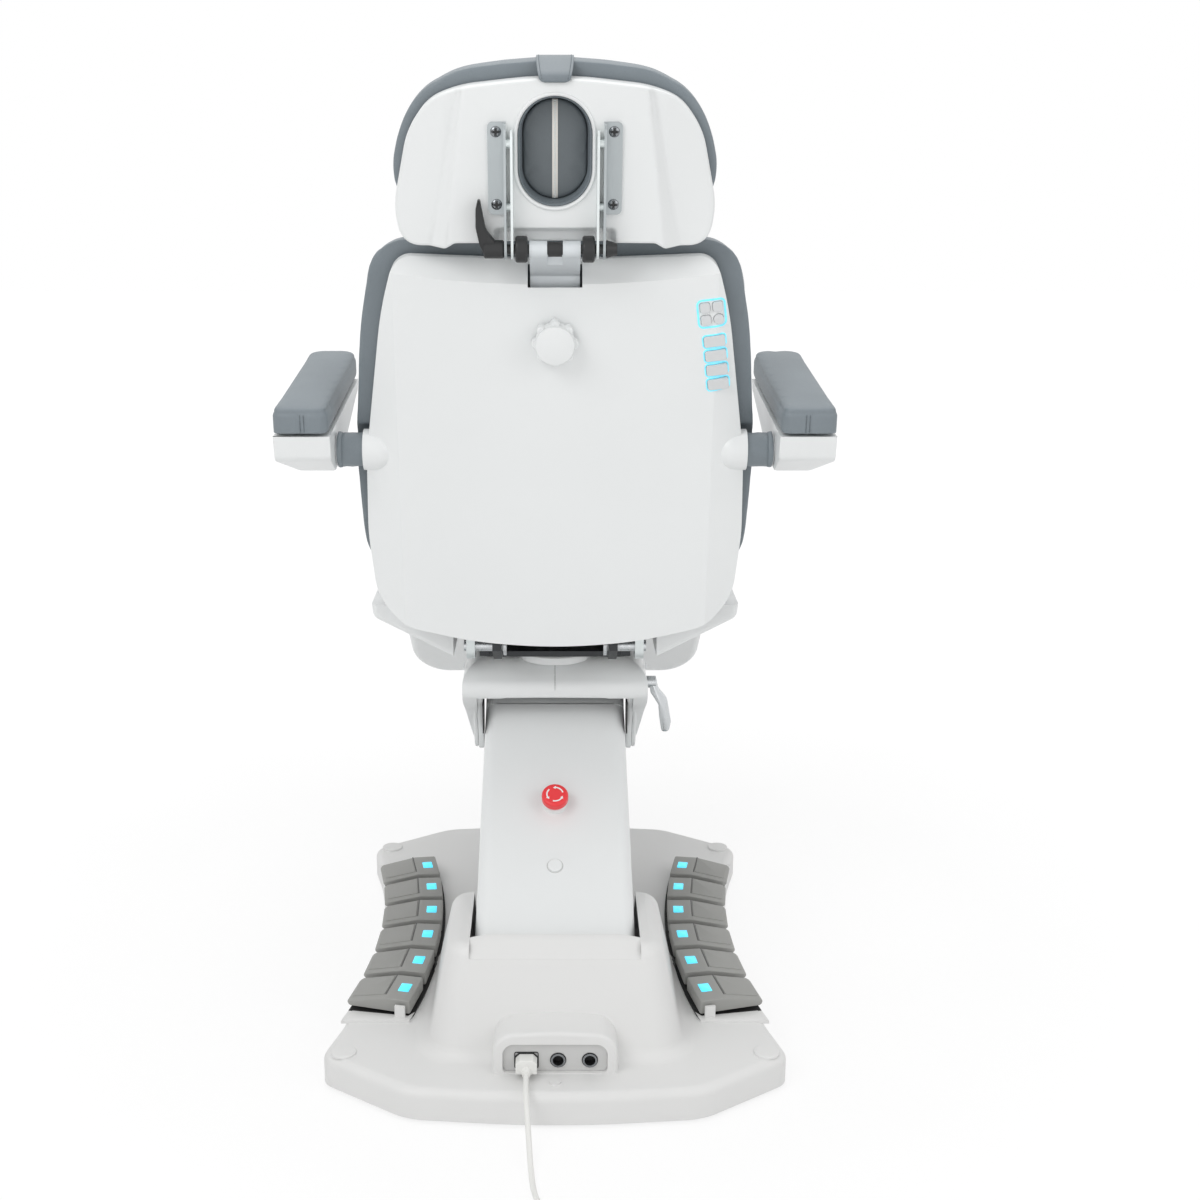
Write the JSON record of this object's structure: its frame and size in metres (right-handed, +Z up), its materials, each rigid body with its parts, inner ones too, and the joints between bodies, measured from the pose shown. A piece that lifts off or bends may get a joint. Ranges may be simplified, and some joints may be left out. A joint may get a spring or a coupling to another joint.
{
  "type": "electric procedure chair",
  "caption": "Electric procedure chair with a lifting arm, swivel seat, reclining back, legrest, armrests, headrest with a breathing hole, and foot pedals along both sides of the base.",
  "frame": {"origin": "on the floor under the middle of the whole chair", "axes": "+X to the sitter's right, +Y the way the sitter faces, +Z up"},
  "size_m": [0.724, 1.4426, 1.285],
  "materials": {
    "base_white": "satin",
    "steel_dark": "satin",
    "rubber_black": "matte",
    "panel_grey": "matte",
    "steel_bright": "satin",
    "cord_white": "satin",
    "plug_white": "satin",
    "pedal_grey": "matte",
    "shell_white": "gloss",
    "stop_red": "gloss",
    "upholstery": "matte",
    "key_grey": "satin",
    "lever_black": "satin"
  },
  "bodies": {
    "base": {"base_cover": "base_white", "base_chassis": "steel_dark", "levelling_feet": "rubber_black", "socket_panel": "panel_grey", "socket_surround": "base_white", "mains_connector": "plug_white", "mains_cord": "cord_white", "mains_cord_coil": "cord_white", "mains_wall_plug": "plug_white"},
    "lift_rod": {"lift_rod": "steel_bright"},
    "lift_arm": {"arm_cover": "shell_white", "arm_beam": "steel_dark", "arm_pivot_pins": "steel_bright"},
    "levelling_link": {"levelling_link": "steel_dark"},
    "e_stop": {"e_stop_head": "stop_red"},
    "yoke": {"yoke_frame": "steel_dark", "yoke_covers": "shell_white"},
    "brake_lever": {"swivel_brake_lever": "steel_bright"},
    "turntable": {"turntable": "steel_dark"},
    "seat": {"seat_frame": "steel_dark", "seat_shell": "shell_white", "seat_cushion": "upholstery", "back_hinge_pins": "steel_bright"},
    "legrest": {"legrest_frame": "shell_white", "legrest_cushion": "upholstery"},
    "back": {"back_frame": "steel_dark", "back_shell": "shell_white", "back_cushion": "upholstery"},
    "headrest_knob": {"headrest_knob": "plug_white"},
    "headrest_stem": {"headrest_stem": "steel_bright", "headrest_rollers": "rubber_black"},
    "headrest": {"headrest_arms": "steel_bright", "headrest_shell": "shell_white", "headrest_cushion": "upholstery"},
    "headrest_plug": {"headrest_plug": "upholstery"},
    "headrest_clamp": {"headrest_clamp_lever": "lever_black"},
    "armrest_left": {"armrest_housing_left": "shell_white", "armrest_cushion_left": "upholstery"},
    "armrest_right": {"armrest_housing_right": "shell_white", "armrest_cushion_right": "upholstery"},
    "pedal_left_1": {"pedal_left_1": "pedal_grey"},
    "pedal_left_2": {"pedal_left_2": "pedal_grey"},
    "pedal_left_3": {"pedal_left_3": "pedal_grey"},
    "pedal_left_4": {"pedal_left_4": "pedal_grey"},
    "pedal_left_5": {"pedal_left_5": "pedal_grey"},
    "pedal_left_6": {"pedal_left_6": "pedal_grey"},
    "pedal_right_1": {"pedal_right_1": "pedal_grey"},
    "pedal_right_2": {"pedal_right_2": "pedal_grey"},
    "pedal_right_3": {"pedal_right_3": "pedal_grey"},
    "pedal_right_4": {"pedal_right_4": "pedal_grey"},
    "pedal_right_5": {"pedal_right_5": "pedal_grey"},
    "pedal_right_6": {"pedal_right_6": "pedal_grey"},
    "button_memory_1": {"button_memory_1": "key_grey"},
    "button_memory_2": {"button_memory_2": "key_grey"},
    "button_light": {"button_light": "key_grey"},
    "button_power": {"button_power": "key_grey"},
    "button_height": {"button_height": "key_grey"},
    "button_back": {"button_back": "key_grey"},
    "button_tilt": {"button_tilt": "key_grey"},
    "button_leg": {"button_leg": "key_grey"}
  },
  "joints": [
    {"name": "lift", "type": "hinge", "parent": "base", "child": "lift_arm", "pos_m": [0, -0.39042, 0.125], "axis": [1, 0, 0], "range_deg": [-15, 30]},
    {"name": "yoke_level", "type": "hinge", "parent": "lift_arm", "child": "yoke", "pos_m": [0, -0.01689, 0.38655], "axis": [1, 0, 0], "range_deg": [-31, 16]},
    {"name": "link_swing", "type": "hinge", "parent": "base", "child": "levelling_link", "pos_m": [0, -0.33542, 0.097], "axis": [1, 0, 0], "range_deg": [-16, 31]},
    {"name": "lift_stroke", "type": "slide", "parent": "base", "child": "lift_rod", "axis": [0, 1, 0], "range_m": [-0.0195, 0.0385]},
    {"name": "e_stop_press", "type": "slide", "parent": "lift_arm", "child": "e_stop", "axis": [0, 0.5736, -0.8192], "range_m": [0, 0.004]},
    {"name": "swivel", "type": "hinge", "parent": "yoke", "child": "turntable", "pos_m": [0, 0.00258, 0.47], "axis": [0, 0, 1], "range_deg": [-90, 90]},
    {"name": "swivel_brake", "type": "hinge", "parent": "yoke", "child": "brake_lever", "pos_m": [0.14, -0.04342, 0.412], "axis": [1, 0, 0], "range_deg": [-25, 25]},
    {"name": "seat_tilt", "type": "hinge", "parent": "turntable", "child": "seat", "pos_m": [0, -0.12642, 0.513], "axis": [1, 0, 0], "range_deg": [0, 12]},
    {"name": "recline", "type": "hinge", "parent": "seat", "child": "back", "pos_m": [0, -0.15342, 0.5], "axis": [1, 0, 0], "range_deg": [0, 65]},
    {"name": "legrest_swing", "type": "hinge", "parent": "seat", "child": "legrest", "pos_m": [0, 0.29558, 0.52], "axis": [1, 0, 0], "range_deg": [-25, 55]},
    {"name": "headrest_knob_turn", "type": "hinge", "parent": "back", "child": "headrest_knob", "pos_m": [0, -0.30797, 0.93883], "axis": [0, 0.9848, 0.1736], "range_deg": [-180, 180]},
    {"name": "headrest_height", "type": "slide", "parent": "back", "child": "headrest_stem", "axis": [0, -0.1736, 0.9848], "range_m": [0, 0.07]},
    {"name": "headrest_tilt", "type": "hinge", "parent": "headrest_stem", "child": "headrest", "pos_m": [0, -0.35296, 1.05579], "axis": [1, 0, 0], "range_deg": [-12, 30]},
    {"name": "headrest_plug_out", "type": "slide", "parent": "headrest", "child": "headrest_plug", "axis": [0, 0.9848, 0.1736], "range_m": [0, 0.09]},
    {"name": "headrest_clamp", "type": "hinge", "parent": "headrest", "child": "headrest_clamp", "pos_m": [-0.074, -0.35296, 1.05579], "axis": [1, 0, 0], "range_deg": [0, 60]},
    {"name": "armrest_left_swing", "type": "hinge", "parent": "back", "child": "armrest_left", "pos_m": [-0.3, -0.2438, 0.79377], "axis": [1, 0, 0], "range_deg": [0, 80]},
    {"name": "armrest_right_swing", "type": "hinge", "parent": "back", "child": "armrest_right", "pos_m": [0.3, -0.2438, 0.79377], "axis": [1, 0, 0], "range_deg": [0, 80]},
    {"name": "pedal_left_1_press", "type": "hinge", "parent": "base", "child": "pedal_left_1", "pos_m": [-0.1993, -0.34441, 0.058], "axis": [-0.1857, -0.9826, 0], "range_deg": [0, 3.5], "stiffness_Nm_per_rad": 12, "springref_deg": -2.86},
    {"name": "pedal_left_2_press", "type": "hinge", "parent": "base", "child": "pedal_left_2", "pos_m": [-0.18696, -0.26248, 0.058], "axis": [-0.1119, -0.9937, 0], "range_deg": [0, 3.5], "stiffness_Nm_per_rad": 12, "springref_deg": -2.86},
    {"name": "pedal_left_3_press", "type": "hinge", "parent": "base", "child": "pedal_left_3", "pos_m": [-0.18077, -0.17985, 0.058], "axis": [-0.0374, -0.9993, 0], "range_deg": [0, 3.5], "stiffness_Nm_per_rad": 12, "springref_deg": -2.86},
    {"name": "pedal_left_4_press", "type": "hinge", "parent": "base", "child": "pedal_left_4", "pos_m": [-0.18077, -0.09699, 0.058], "axis": [0.0374, -0.9993, 0], "range_deg": [0, 3.5], "stiffness_Nm_per_rad": 12, "springref_deg": -2.86},
    {"name": "pedal_left_5_press", "type": "hinge", "parent": "base", "child": "pedal_left_5", "pos_m": [-0.18696, -0.01436, 0.058], "axis": [0.1119, -0.9937, 0], "range_deg": [0, 3.5], "stiffness_Nm_per_rad": 12, "springref_deg": -2.86},
    {"name": "pedal_left_6_press", "type": "hinge", "parent": "base", "child": "pedal_left_6", "pos_m": [-0.1993, 0.06757, 0.058], "axis": [0.1857, -0.9826, 0], "range_deg": [0, 3.5], "stiffness_Nm_per_rad": 12, "springref_deg": -2.86},
    {"name": "pedal_right_1_press", "type": "hinge", "parent": "base", "child": "pedal_right_1", "pos_m": [0.1993, -0.34441, 0.058], "axis": [-0.1857, 0.9826, 0], "range_deg": [0, 3.5], "stiffness_Nm_per_rad": 12, "springref_deg": -2.86},
    {"name": "pedal_right_2_press", "type": "hinge", "parent": "base", "child": "pedal_right_2", "pos_m": [0.18696, -0.26248, 0.058], "axis": [-0.1119, 0.9937, 0], "range_deg": [0, 3.5], "stiffness_Nm_per_rad": 12, "springref_deg": -2.86},
    {"name": "pedal_right_3_press", "type": "hinge", "parent": "base", "child": "pedal_right_3", "pos_m": [0.18077, -0.17985, 0.058], "axis": [-0.0374, 0.9993, 0], "range_deg": [0, 3.5], "stiffness_Nm_per_rad": 12, "springref_deg": -2.86},
    {"name": "pedal_right_4_press", "type": "hinge", "parent": "base", "child": "pedal_right_4", "pos_m": [0.18077, -0.09699, 0.058], "axis": [0.0374, 0.9993, 0], "range_deg": [0, 3.5], "stiffness_Nm_per_rad": 12, "springref_deg": -2.86},
    {"name": "pedal_right_5_press", "type": "hinge", "parent": "base", "child": "pedal_right_5", "pos_m": [0.18696, -0.01436, 0.058], "axis": [0.1119, 0.9937, 0], "range_deg": [0, 3.5], "stiffness_Nm_per_rad": 12, "springref_deg": -2.86},
    {"name": "pedal_right_6_press", "type": "hinge", "parent": "base", "child": "pedal_right_6", "pos_m": [0.1993, 0.06757, 0.058], "axis": [0.1857, 0.9826, 0], "range_deg": [0, 3.5], "stiffness_Nm_per_rad": 12, "springref_deg": -2.86},
    {"name": "button_memory_1_press", "type": "slide", "parent": "back", "child": "button_memory_1", "axis": [0, 0.9848, 0.1736], "range_m": [0, 0.0012], "stiffness_N_per_m": 600, "springref_m": -0.001},
    {"name": "button_memory_2_press", "type": "slide", "parent": "back", "child": "button_memory_2", "axis": [0, 0.9848, 0.1736], "range_m": [0, 0.0012], "stiffness_N_per_m": 600, "springref_m": -0.001},
    {"name": "button_light_press", "type": "slide", "parent": "back", "child": "button_light", "axis": [0, 0.9848, 0.1736], "range_m": [0, 0.0012], "stiffness_N_per_m": 600, "springref_m": -0.001},
    {"name": "button_power_press", "type": "slide", "parent": "back", "child": "button_power", "axis": [0, 0.9848, 0.1736], "range_m": [0, 0.0012], "stiffness_N_per_m": 600, "springref_m": -0.001},
    {"name": "button_height_press", "type": "slide", "parent": "back", "child": "button_height", "axis": [0, 0.9848, 0.1736], "range_m": [0, 0.0012], "stiffness_N_per_m": 600, "springref_m": -0.001},
    {"name": "button_back_press", "type": "slide", "parent": "back", "child": "button_back", "axis": [0, 0.9848, 0.1736], "range_m": [0, 0.0012], "stiffness_N_per_m": 600, "springref_m": -0.001},
    {"name": "button_tilt_press", "type": "slide", "parent": "back", "child": "button_tilt", "axis": [0, 0.9848, 0.1736], "range_m": [0, 0.0012], "stiffness_N_per_m": 600, "springref_m": -0.001},
    {"name": "button_leg_press", "type": "slide", "parent": "back", "child": "button_leg", "axis": [0, 0.9848, 0.1736], "range_m": [0, 0.0012], "stiffness_N_per_m": 600, "springref_m": -0.001}
  ],
  "couplings": [
    {"joint": "yoke_level", "follows": "lift", "ratio": -1},
    {"joint": "link_swing", "follows": "lift", "ratio": 1},
    {"joint": "lift_stroke", "follows": "lift", "m_per_rad": 0.0705}
  ]
}
